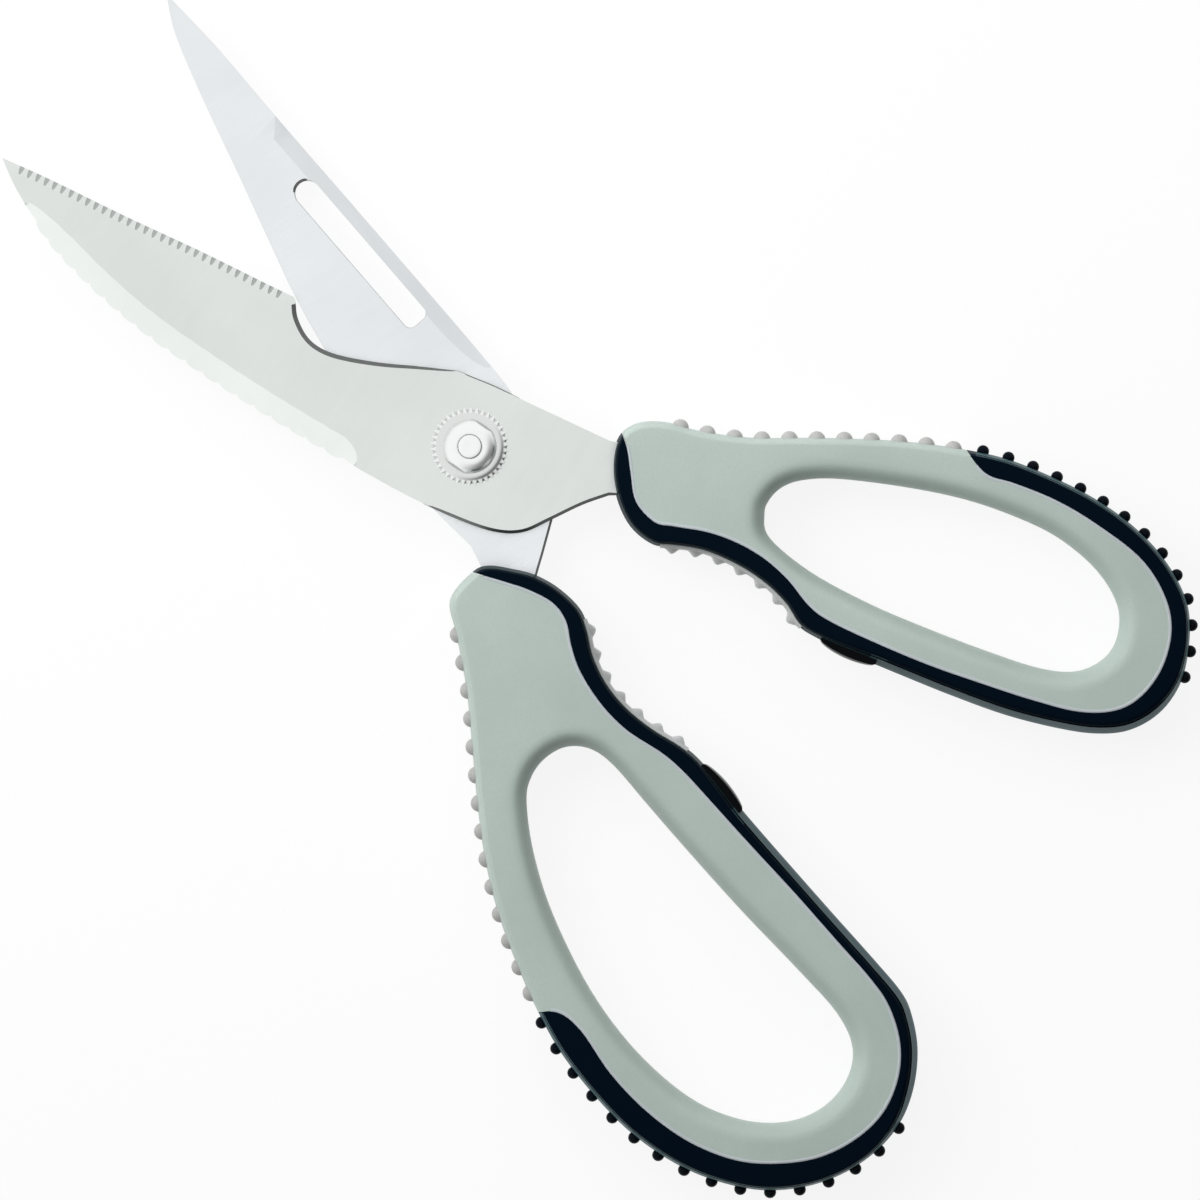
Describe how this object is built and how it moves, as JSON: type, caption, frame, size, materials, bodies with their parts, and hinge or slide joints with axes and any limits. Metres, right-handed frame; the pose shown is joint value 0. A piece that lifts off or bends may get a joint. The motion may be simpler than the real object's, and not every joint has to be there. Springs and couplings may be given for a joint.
{
  "type": "fish and game shears",
  "caption": "Fish and game shears: a fine-toothed blade with a scaler back and a slotted plain blade on a pivot, with soft-banded, nubbed loop handles",
  "frame": {"origin": "centre of the flat face of the pivot bolt's head, on the pivot's axis, behind the rear blade", "axes": "+Y from the pivot to the blade tips along the line that halves the opening, +X to the right seen from the front, +Z along the pivot's axis from the bolt's head to the nut"},
  "size_m": [0.1428, 0.2361, 0.0143],
  "materials": {
    "satin_steel": "satin ground",
    "bright_satin_steel": "fine satin ground",
    "polished_steel": "polished",
    "grey_green_plastic": "fine moulded grain",
    "dark_soft_rubber": "soft matt",
    "light_grey_plastic": "moulded",
    "black_bumper_rubber": "smooth"
  },
  "bodies": {
    "front_half": {"front_blade": "satin_steel", "pivot_bolt": "polished_steel", "tension_washer": "polished_steel", "tooth_lock_washer": "polished_steel", "pivot_nut": "polished_steel", "front_handle_core": "grey_green_plastic", "front_handle_grip": "dark_soft_rubber", "front_jaw_ribs": "light_grey_plastic", "front_stop_pad": "black_bumper_rubber"},
    "rear_half": {"rear_blade": "bright_satin_steel", "rear_handle_core": "grey_green_plastic", "rear_handle_grip": "dark_soft_rubber", "rear_jaw_ribs": "light_grey_plastic", "rear_stop_pad": "black_bumper_rubber"}
  },
  "joints": [
    {"name": "pivot_hinge", "type": "hinge", "parent": "front_half", "child": "rear_half", "pos_m": [0, 0, 0], "axis": [0, 0, 1], "range_deg": [-81, 22.9]}
  ]
}
